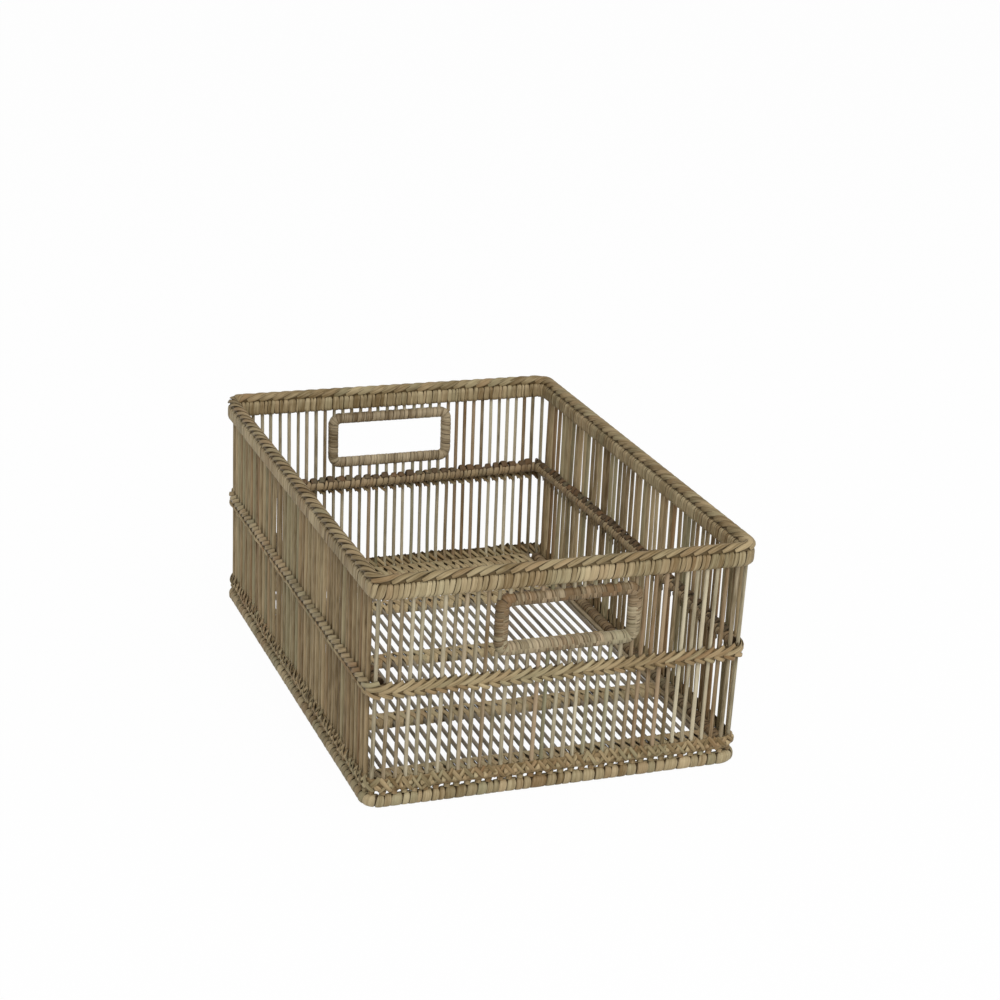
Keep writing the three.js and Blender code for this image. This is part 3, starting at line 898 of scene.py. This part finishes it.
class BASKET_OT_mid_rail(Undoable, bpy.types.Operator):
    """Winds dark cane round the rail inside the walls and ties it over the rods"""

    bl_idname = "basket.mid_rail"
    bl_label = "Mid rail wrapping"

    def execute(self, context):
        sizes = context.scene.basket_sizes
        cane = Cane("mid_rail_wrap")
        gap = 0.0004
        half_thickness = 0.0045
        line = WallLine(sizes, middle_height("mid_rail_wrap"), sizes.rod_radius + gap + half_thickness,
                        bend=0.008, forward=0.040, rise=sizes.rail_rise)
        outline = Track(half_x=0.0035, half_y=0.0035, bend=0.0033)
        start = line.right(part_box("mid_rail_wrap")[0].y)
        stop = line.length + 2 * line.track.flat_x - start
        thickness = sizes.cane_thickness * 1.15
        wind(cane, line, outline, sizes.rail_turn, thickness, start, stop, spread=0.30,
             seam=outline.ends[RIGHT], pinch=0.34, mottle=0.55, stain=0.22, stain_size=0.04,
             shade=0.9)
        self.knots(cane, sizes)
        cane.build("inner")
        rail = Cane("mid_rail", "mid_rail_rod")
        inside = 0.0002
        # The rail's rod is darkened further as painted shade in the slits between turns
        thread(rail, line, start + inside, stop - inside, steps=161, radius=0.0033, sideways=Z_WAY,
               tone=-1.6)
        rail.build("core")
        return {"FINISHED"}

    def knots(self, cane, sizes):
        """Ties two canes, one over the other, out through each gap between the rods"""
        line = WallLine(sizes, middle_height("mid_rail_wrap"), rise=sizes.rail_rise)
        posts = stakes(sizes, line)
        gaps = posts + np.diff(posts, append=posts[0] + line.length) / 2
        gaps = gaps[(gaps > line.track.ends[RIGHT]) & (gaps < line.track.ends[LAST_CORNER])]
        count = len(gaps)
        share = np.linspace(0, 1, STRIP_STEPS)
        innermost = -0.0092
        outermost = -0.0004
        start_height = 0.0026
        fall = 0.0040
        narrowing = 0.35
        thickness = 0.0016
        out = innermost + (outermost - innermost) * share
        for rise, half, tone in ((0.0038, 0.0031, -2.5), (0.0028, 0.0021, -1.7)):
            along = gaps[:, None] + cane.vary(0.0007, count) + cane.vary(0.0018, count) * share
            peak = rise + cane.rng.uniform(low=-0.0008, high=0.0012, size=(count, 1))
            up = start_height + peak * np.sin(math.pi * share) ** 0.8 - fall * share ** 2
            half = half * np.exp(cane.vary(0.15, count)) * (1 - narrowing * share)
            left = line(along - half, out, up)
            right = line(along + half, out, up)
            top = line(along, out, up + thickness) - line(along, out, up)
            cane.strips((left + right) / 2, right - left, top, *cane.hues(count, tone, spread=0.5))


class BASKET_OT_mid_plait(Undoable, bpy.types.Operator):
    """Plaits the herringbone band outside the walls at mid height"""

    bl_idname = "basket.mid_plait"
    bl_label = "Mid plait"

    def execute(self, context):
        sizes = context.scene.basket_sizes
        cane = Cane("mid_plait")
        line = level_line(sizes, "mid_plait")
        posts = stakes(sizes, line)
        gaps = posts - np.diff(posts, prepend=posts[-1] - line.length) / 2
        count = len(gaps)
        ahead = np.concatenate([gaps, gaps[:2] + line.length])
        next_gap, third_gap = ahead[1:-1], ahead[2:]
        share = np.linspace(0, 1, STRIP_STEPS)
        surface, bulge, tuck = 0.0022, 0.0016, 0.0010
        out = surface + bulge * np.sin(math.pi * share) - tuck * share ** 3
        overlap, thickness, uneven = 0.001, 0.0010, 0.00025
        start = gaps[:, None] - overlap
        upper = start + (third_gap - gaps)[:, None] * share
        low, climb, wide = -0.0014, 0.0080, 0.0038
        up = low + climb * share + cane.vary(uneven, count)
        tone = SLOW_TONES * patches(cane.rng, gaps, line.length, PATCH_SIZE)
        slow_warmth = 0.4
        warm = USUAL_WARMTH + slow_warmth * patches(cane.rng, gaps, line.length, PATCH_SIZE)
        hues = cane.hues(count, tone, spread=0.40, warm=warm, warm_spread=0.25)
        lay(cane, line, upper, out, up, wide, thickness, *hues)
        lower = start + (next_gap - gaps + overlap)[:, None] * share
        low, drop, wide, darker = -0.0010, 0.0046, 0.0032, 0.2
        up = low - drop * share + cane.vary(uneven, count)
        hues = cane.hues(count, tone - darker, spread=0.40, warm=warm, warm_spread=0.25)
        lay(cane, line, lower, out, up, wide, thickness, *hues)
        backing(cane, line, out=0.0019, up=0.0006, width=0.0092)
        for top, fall in ((0.0056, 0.0062), (-0.0004, 0.0056)):
            inner_strips(cane, line, posts, next_gap - gaps, top, fall, depth=0.0026)
        cane.build("plait")
        return {"FINISHED"}


class BASKET_OT_bottom_plait(Undoable, bpy.types.Operator):
    """Plaits the crossed band at the foot of the walls"""

    bl_idname = "basket.bottom_plait"
    bl_label = "Bottom plait"

    def execute(self, context):
        sizes = context.scene.basket_sizes
        cane = Cane("bottom_plait")
        line = level_line(sizes, "bottom_plait")
        posts = stakes(sizes, line)
        before = np.diff(posts, prepend=posts[-1] - line.length) / 2
        pitch = before + np.roll(before, -1)
        start = (posts - before)[:, None]
        count = len(posts)
        slow_warmth, usual_height, tallest = 0.35, 0.4, 0.30
        tone = SLOW_TONES * patches(cane.rng, posts, line.length, size=0.04)
        warm = USUAL_WARMTH + slow_warmth * patches(cane.rng, posts, line.length, PATCH_SIZE)
        height = usual_height + patches(cane.rng, posts, line.length, PATCH_SIZE)
        taller = tallest * np.clip(height, 0, 1)[:, None]
        share = np.linspace(0, 1, STRIP_STEPS)
        high, fall, lift = 0.0048, 0.0094, 0.0010
        surface, usual_width, uneven, darker = 0.0009, 0.0029, 0.0006, 0.45
        for crossing, bulge in ((share, 0.0029), (1 - share, 0.0020)):
            up = (1 + taller) * (high - fall * share) + lift * taller + cane.vary(0.0007, count)
            along = start + pitch[:, None] * crossing + cane.vary(0.0009, count)
            out = surface + bulge * np.sin(math.pi * share)
            width = usual_width + cane.rng.uniform(-uneven, uneven, (count, 1))
            hues = cane.hues(count, tone - darker, spread=0.45, warm=warm)
            lay(cane, line, along, out, up, width, sizes.cane_thickness, *hues, tilt=0.0002)
        self.knobs(cane, line, start, tone, warm)
        backing(cane, line, out=0.0017, up=0, width=0.0102)
        for top, fall in ((0.0050, 0.0060), (-0.0004, 0.0052)):
            inner_strips(cane, line, posts, pitch, top, fall, depth=0.0030)
        cane.build("plait")
        return {"FINISHED"}

    def knobs(self, cane, line, gaps, tone, warm):
        """Ties a short steep cane over the crossing in each gap"""
        count = len(gaps)
        share = np.linspace(0, 1, SHORT_STEPS)
        along = gaps + cane.vary(0.0004, count) + cane.vary(0.0016, count) * (share - 0.5)
        high, fall = 0.0016, 0.0050
        up = high - fall * share + cane.vary(0.0006, count)
        surface, bulge, narrow, swell = 0.0012, 0.0024, 0.0016, 0.0022
        arch = np.sin(math.pi * share)
        thickness, lighter = 0.0011, 0.35
        hues = cane.hues(count, tone + lighter, spread=0.4, warm=warm)
        lay(cane, line, along, surface + bulge * arch, up, narrow + swell * arch, thickness, *hues)


class BASKET_OT_foot(Undoable, bpy.types.Operator):
    """Winds cane round the foot hoop and ties it to the rods above it"""

    bl_idname = "basket.foot"
    bl_label = "Foot wrapping"

    def execute(self, context):
        sizes = context.scene.basket_sizes
        cane = Cane("foot_wrap")
        low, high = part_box("foot_wrap")
        line = level_line(sizes, "foot_wrap")
        thickness = sizes.cane_thickness * 0.85
        outline = Track(high.x - sizes.half_width - thickness, (high.z - low.z) / 2 - thickness,
                        bend=0.0036)
        seam = outline.ends[FAR] + outline.flat_x
        wind(cane, line, outline, sizes.foot_turn, thickness, 0, line.length, steps=26, spread=0.30,
             seam=seam, slant=0.6, fill=0.985, loose=0.02, pinch=0.22, sway=0.03, mottle=0.42,
             stain=0.5, shade=-0.25, odd=0.02)
        cane.build("wrap")
        ties = Cane("foot_strip", "foot_tie_cane")
        low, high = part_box("foot_strip")
        level = level_line(sizes, "foot_strip")
        posts = stakes(sizes, level)
        count = len(posts)
        share = np.linspace(-1, 1, 5)
        slant, reach = 0.0003, 0.62
        along = posts[:, None] + ties.vary(0.0003, count) + slant * share
        up = (high.z - low.z) * reach * share
        surface, hollow = -0.0012, 0.0004
        tone, warm = ties.hues(count, tone=-0.9, spread=0.4)
        lay(ties, level, along, surface + hollow * share ** 2, up, width=0.0050, thickness=0.0030,
            tone=tone, warm=warm, shade_and_dirt=0.6)
        ties.build("wrap")
        return {"FINISHED"}


class BASKET_OT_handles(Undoable, bpy.types.Operator):
    """Winds cane round the frames of the hand holes"""

    bl_idname = "basket.handles"
    bl_label = "Hand hole wrappings"

    def execute(self, context):
        sizes = context.scene.basket_sizes
        thickness = sizes.cane_thickness * 0.65
        for place, side, tube, shift, stain, shade in (
                ("front", -1, sizes.front_handle_tube, sizes.front_handle_shift, 0.45, -0.6),
                ("rear", 1, sizes.rear_handle_tube, -sizes.rear_handle_shift, 0.10, -0.05)):
            cane = Cane(f"handle_wrap_{place}")
            line = FrameLine(sizes, cane.node, tube, bend=0.0062, side=side, shift=shift)
            half = tube / 2 - thickness
            roundness = 0.86
            outline = Track(half, half, half * roundness)
            wind(cane, line, outline, sizes.handle_turn, thickness, 0, line.length, steps=22,
                 spread=0.40, seam=outline.ends[RIGHT] + outline.flat_y, fill=0.985, loose=0.012,
                 sway=0.02, mottle=0.52, wear=0.8, stain=stain, shade=shade, odd=0.04)
            cane.build("handle", contrast=1.3)
            core = Cane(f"handle_frame_{place}", f"handle_frame_{place}_rod")
            gap = 0.0002
            # The frame's rod is darkened further as painted shade in the slits between turns
            thread(core, line, 0, line.length, steps=121, radius=half - gap, sideways=Y_WAY, tone=-2.0)
            core.build("core")
        return {"FINISHED"}


class BASKET_OT_end_rods(Undoable, bpy.types.Operator):
    """Stands the rods of the end walls beside, below and above the hand holes"""

    bl_idname = "basket.end_rods"
    bl_label = "End wall rods"

    def execute(self, context):
        sizes = context.scene.basket_sizes
        places, _ = end_rods(sizes)
        inner = np.abs(places) < base_rod_limit(sizes)
        foot = sizes.base_height - sizes.rod_radius
        top = sizes.rod_top
        into_frame = 0.0045
        for wall, side in (("front", -1), ("rear", 1)):
            low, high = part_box(f"handle_wrap_{wall}")
            clear = high.x + sizes.rod_radius
            left = places < -clear
            right = places > clear
            middle = ~(left | right)
            for part, stands in (
                    ("left", ((left & inner, foot, top, True), (left & ~inner, foot, top, False))),
                    ("right", ((right & inner, foot, top, True), (right & ~inner, foot, top, False))),
                    ("below_handle", ((middle, 0, low.z + into_frame, True),)),
                    ("above_handle", ((middle, high.z - into_frame, top, False),))):
                cane = Cane(f"{wall}_rods_{part}")
                for pick, bottom, end, bend in stands:
                    end_wall_rods(cane, sizes, side, pick, bottom, end, bend)
                cane.build("rod")
        return {"FINISHED"}


class BASKET_OT_side_rods(Undoable, bpy.types.Operator):
    """Stands the rods of the side walls and the corner posts"""

    bl_idname = "basket.side_rods"
    bl_label = "Side wall rods"

    def execute(self, context):
        sizes = context.scene.basket_sizes
        foot = sizes.base_height - sizes.rod_radius
        heights = np.linspace(foot, sizes.rod_top, ROD_STEPS)
        for wall, side in (("left", -1), ("right", 1)):
            places, draws = side_rods(sizes, side)
            for bay in (1, 2, 3, 4):
                cane = Cane(f"{wall}_rods_bay_{bay}")
                low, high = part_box(cane.node)
                pick = (places > low.y) & (places < high.y)
                y = places[pick, None] + draws.shift[pick, None] \
                    + bowed(draws, pick, heights, foot, sizes.rod_top)
                x = side * sizes.half_width + 2 * draws.depth[pick, None]
                paths = np.stack(np.broadcast_arrays(x, y, heights), axis=-1)
                cane.rods(paths, draws.radius[pick], Y_WAY, draws.tone[pick], draws.warm[pick])
                cane.build("side")
        setback = sizes.corner_bend * (1 - math.sqrt(0.5))
        x = sizes.half_width - setback
        y = half_length(sizes, heights) - setback
        for name, way_x, way_y in (("front_left", -1, -1), ("front_right", 1, -1),
                                   ("rear_left", -1, 1), ("rear_right", 1, 1)):
            cane = Cane(f"corner_post_{name}")
            path = np.stack(np.broadcast_arrays(way_x * x, way_y * y, heights), axis=-1)[None]
            tone = cane.rng.normal(loc=0, scale=0.4, size=1)
            cane.rods(path, sizes.rod_radius, Y_WAY, tone, warm=0)
            cane.build("rod")
        return {"FINISHED"}


class BASKET_OT_base_rods(Undoable, bpy.types.Operator):
    """Lays the long rods of the base"""

    bl_idname = "basket.base_rods"
    bl_label = "Base rods"

    def execute(self, context):
        sizes = context.scene.basket_sizes
        places, draws = end_rods(sizes)
        reach = half_length(sizes, sizes.base_height + sizes.base_bend) - sizes.base_bend
        steps = 40
        waviness = 0.00015
        duller, greyer = 0.7, 0.3
        y = np.linspace(-reach, reach, steps)
        for part in ("left", "middle", "right"):
            cane = Cane(f"base_rods_{part}")
            low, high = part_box(cane.node)
            pick = (places > low.x) & (places < high.x)
            tone = draws.tone[pick]
            x = places[pick, None] + draws.shift[pick, None] \
                + draws.bow[pick, 0, None] * np.sin(2 * math.pi * y / reach)
            z = sizes.base_height + waviness * np.sin(3 * math.pi * y / reach) * tone[:, None]
            paths = np.stack(np.broadcast_arrays(x, y, z), axis=-1)
            cane.rods(paths, draws.radius[pick], X_WAY, duller * tone, greyer * draws.warm[pick])
            cane.build("base")
        return {"FINISHED"}


class BASKET_OT_side_rails(Undoable, bpy.types.Operator):
    """Winds the side rails of the base and lays the flat strips beside them"""

    bl_idname = "basket.side_rails"
    bl_label = "Side rails and edge strips"

    def execute(self, context):
        sizes = context.scene.basket_sizes
        outline = Track(half_x=0.0039, half_y=0.0039, bend=0.0037)
        turn_width, thickness, steps = 0.005, 0.0013, 60
        for place, seam in (("left", outline.ends[LEFT]), ("right", outline.ends[RIGHT])):
            cane = Cane(f"side_rail_wrap_{place}")
            low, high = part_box(cane.node)
            line = StraightLine((low + high) / 2, Y_WAY, X_WAY)
            wind(cane, line, outline, turn_width, sizes.cane_thickness, low.y, high.y, spread=0.18,
                 seam=seam, fill=0.90, stain=0.3, shade=-0.3)
            cane.build("inner")
            strip = Cane(f"base_edge_strip_{place}")
            low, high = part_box(strip.node)
            y = np.linspace(low.y, high.y, steps)[None, :]
            for level in (low.z, low.z + thickness):
                middle = np.stack(np.broadcast_arrays((low.x + high.x) / 2, y, level), axis=-1)
                across = np.broadcast_to((high.x - low.x) * X_WAY, middle.shape)
                rise = np.broadcast_to(thickness * Z_WAY, middle.shape)
                strip.strips(middle, across, rise, tone=-0.1, warm=-0.1)
            strip.build("handle")
        return {"FINISHED"}


class BASKET_OT_bars(Undoable, bpy.types.Operator):
    """Winds the bars of the base and lashes the rods to them"""

    bl_idname = "basket.bars"
    bl_label = "Base bars and lashings"

    def execute(self, context):
        sizes = context.scene.basket_sizes
        for kind, places in (("cross", ("front", "middle", "rear")), ("end", ("front", "rear"))):
            for place in places:
                low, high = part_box(f"{kind}_bar_{place}")
                self.wrap(sizes, f"{kind}_bar_{place}", low, high)
                self.lash(sizes, f"{kind}_lashing_{place}", low, high)
        return {"FINISHED"}

    def wrap(self, sizes, node, low, high):
        thickness = sizes.cane_thickness * 0.8
        half_x = (high.y - low.y) / 2 - thickness
        half_y = (high.z - low.z) / 2 - thickness
        line = StraightLine((low + high) / 2, X_WAY, Y_WAY)
        usual_bend, least_flat = 0.0014, 0.0001
        outline = Track(half_x, half_y, min(usual_bend, half_y - least_flat))
        cane = Cane(node)
        # The bar's wrapping is darkened (shade -1.2) as painted shade in the gaps between the lashings
        wind(cane, line, outline, sizes.bar_turn, thickness, low.x, high.x, steps=20,
             seam=outline.flat_x, fill=0.985, loose=0.02, mottle=0.35, stain=0.2, shade=-1.2)
        cane.build("plait")

    def lash(self, sizes, node, low, high):
        """Crosses two canes over each rod, from gap to gap and edge to edge of a bar"""
        places, draws = end_rods(sizes)
        rods = (places + draws.shift)[np.abs(places) < base_rod_limit(sizes)]
        count = len(rods)
        pitch = np.mean(np.diff(rods))
        gaps = np.concatenate([[rods[0] - pitch / 2], (rods[1:] + rods[:-1]) / 2,
                               [rods[-1] + pitch / 2]])[:, None]
        cane = Cane(node)
        gap, steps, saddle_height, saddle_shade_tone = 0.0002, 5, 0.0024, -1.6
        # The saddle strips between the rods are darkened as painted shade in the gaps under the lashings
        saddle = np.stack(np.broadcast_arrays(
            gaps, np.linspace(low.y, high.y, steps), high.z + gap), axis=-1)
        across = np.broadcast_to((pitch - 2 * (sizes.rod_radius + gap)) * X_WAY, saddle.shape)
        rise = np.broadcast_to(saddle_height * Z_WAY, saddle.shape)
        tone = np.full(len(saddle), saddle_shade_tone)
        cane.strips(saddle, across, rise, tone, np.zeros(len(saddle)), shade_and_dirt=0.5)
        left = gaps[:-1]
        right = gaps[1:]
        steps, above, fall, thickness = 15, 0.0003, 0.0046, 0.0008
        share = np.linspace(-1, 1, steps)
        turn = share * math.pi / 2
        near_reach, far_reach, end_turn, side_reach = 1.16, 1.36, 0.98, 0.92
        usual_width, uneven = 0.0050, 0.0006
        reach = (high.y - low.y) / 2 * np.where(share > 0, far_reach, near_reach)
        y = (low.y + high.y) / 2 + reach * np.sin(turn * end_turn)
        for way, lift in ((1, 0.0), (-1, 0.0007)):
            swing = way * np.sin(turn) * side_reach
            x = (left + right) / 2 + (right - left) / 2 * swing + cane.vary(0.0004, count)
            z = sizes.base_height + sizes.rod_radius + above + lift * np.cos(turn) \
                - fall * np.abs(share) ** 3.5
            middle = np.stack(np.broadcast_arrays(x, y, z), axis=-1)
            tangent = unit(np.gradient(middle, axis=1))
            across = unit(np.cross(tangent, Z_WAY))
            rise = np.cross(across, tangent) * thickness
            width = usual_width + cane.rng.uniform(-uneven, uneven, (count, 1, 1))
            hues = cane.hues(count, tone=1.0, spread=0.45, warm=0.05)
            cane.strips(middle, across * width, rise, *hues)
        cane.build("plait")


class BASKET_OT_stage(Undoable, bpy.types.Operator):
    """Sets up the floor, the lamps, the background and the camera"""

    bl_idname = "basket.stage"
    bl_label = "Floor, lamps and camera"

    def execute(self, context):
        stage = context.scene.basket_stage
        colours = context.scene.basket_colours
        self.floor(context, colours)
        self.world(context, stage, colours)
        self.lamp(context, "key_lamp", place=(-0.3, -2.2, 2.4), size=1.8, power=stage.key)
        self.lamp(context, "fill_lamp", place=(2.2, -0.9, 1.9), size=1.6, power=stage.fill)
        self.camera(context, stage)
        context.scene.view_settings.view_transform = "Standard"
        return {"FINISHED"}

    def floor(self, context, colours):
        mesh = bpy.data.meshes.new("floor")
        size = 12.0
        mesh.from_pydata([(-size, -size, 0), (size, -size, 0), (size, size, 0), (-size, size, 0)],
                         [], [(0, 1, 2, 3)])
        material = bpy.data.materials.new("pale_floor")
        nodes = Nodes(material)
        path = nodes.add("ShaderNodeLightPath")
        seen = nodes.value(path, "Is Camera Ray").at_least(nodes.value(path, "Is Glossy Ray"))
        seen = seen.at_least(nodes.value(path, "Is Transmission Ray"))
        pale_grey = (0.8, 0.8, 0.8)
        glow_share = 0.97
        matte = nodes.add("ShaderNodeBsdfDiffuse", None, {"Color": rgba(pale_grey)})
        glow = nodes.add("ShaderNodeEmission", None, {"Color": rgba(colours.floor), "Strength": 1.0})
        blend = nodes.add("ShaderNodeMixShader", None, {
            0: seen * glow_share, 1: nodes.value(matte), 2: nodes.value(glow)})
        nodes.add("ShaderNodeOutputMaterial", None, {"Surface": nodes.value(blend)})
        mesh.materials.append(material)
        floor = bpy.data.objects.new("floor", mesh)
        context.collection.objects.link(floor)

    def world(self, context, stage, colours):
        world = bpy.data.worlds.new("soft_studio")
        nodes = Nodes(world)
        path = nodes.add("ShaderNodeLightPath")
        seen = nodes.value(path, "Is Camera Ray").at_least(nodes.value(path, "Is Transmission Ray"))
        strength = stage.ambient + seen * (1 - stage.ambient)
        sky = nodes.add("ShaderNodeBackground", None, {
            "Color": rgba(colours.floor), "Strength": strength})
        nodes.add("ShaderNodeOutputWorld", None, {"Surface": nodes.value(sky)})
        context.scene.world = world

    def lamp(self, context, name, place, size, power):
        data = bpy.data.lights.new(name, "AREA")
        data.shape = "SQUARE"
        data.size = size
        data.energy = power
        lamp = bpy.data.objects.new(name, data)
        basket_middle = Vector((0, 0, 0.1))
        turn = (basket_middle - Vector(place)).to_track_quat("-Z", "Y").to_matrix().to_4x4()
        lamp.matrix_world = Matrix.Translation(place) @ turn
        context.collection.objects.link(lamp)

    def camera(self, context, stage):
        data = bpy.data.cameras.new("camera")
        data.lens = stage.lens
        data.sensor_width = 36
        data.clip_end = 60
        forward = Vector((
            math.sin(stage.azimuth) * math.cos(stage.elevation),
            math.cos(stage.azimuth) * math.cos(stage.elevation),
            -math.sin(stage.elevation),
        ))
        level = Vector((math.cos(stage.azimuth), -math.sin(stage.azimuth), 0))
        upright = level.cross(forward)
        right = level * math.cos(stage.roll) + upright * math.sin(stage.roll)
        up = right.cross(forward)
        rotation = Matrix((right, up, -forward)).transposed()
        camera = bpy.data.objects.new("camera", data)
        place = Vector(stage.aim) - forward * stage.distance
        camera.matrix_world = Matrix.Translation(place) @ rotation.to_4x4()
        context.collection.objects.link(camera)
        context.scene.camera = camera


OPERATORS = (
    BASKET_OT_stage,
    BASKET_OT_cores,
    BASKET_OT_rim_wrap,
    BASKET_OT_rim_plait,
    BASKET_OT_mid_rail,
    BASKET_OT_mid_plait,
    BASKET_OT_bottom_plait,
    BASKET_OT_foot,
    BASKET_OT_handles,
    BASKET_OT_end_rods,
    BASKET_OT_side_rods,
    BASKET_OT_base_rods,
    BASKET_OT_side_rails,
    BASKET_OT_bars,
)
SETTINGS = {
    "basket_sizes": BasketSizes,
    "basket_colours": BasketColours,
    "basket_stage": BasketStage,
}


class BASKET_PT_panel(bpy.types.Panel):
    """Lists the basket's pieces in the sidebar"""

    bl_idname = "BASKET_PT_panel"
    bl_label = "Rattan basket"
    bl_space_type = "VIEW_3D"
    bl_region_type = "UI"
    bl_category = "Basket"

    def draw(self, context):
        layout = self.layout
        for operator in OPERATORS:
            layout.operator(operator.bl_idname)
        for name in SETTINGS:
            settings = getattr(context.scene, name)
            box = layout.box()
            for setting in settings.__annotations__:
                box.prop(settings, setting)


CLASSES = (*SETTINGS.values(), *OPERATORS, BASKET_PT_panel)


def register():
    for made in CLASSES:
        bpy.utils.register_class(made)
    for name, group in SETTINGS.items():
        setattr(bpy.types.Scene, name, PointerProperty(type=group))


def unregister():
    for name in SETTINGS:
        delattr(bpy.types.Scene, name)
    for made in reversed(CLASSES):
        bpy.utils.unregister_class(made)


def main():
    register()
    for operator in OPERATORS:
        name = operator.bl_idname.split(".")[1]
        getattr(bpy.ops.basket, name)()


if __name__ == "__main__":
    main()
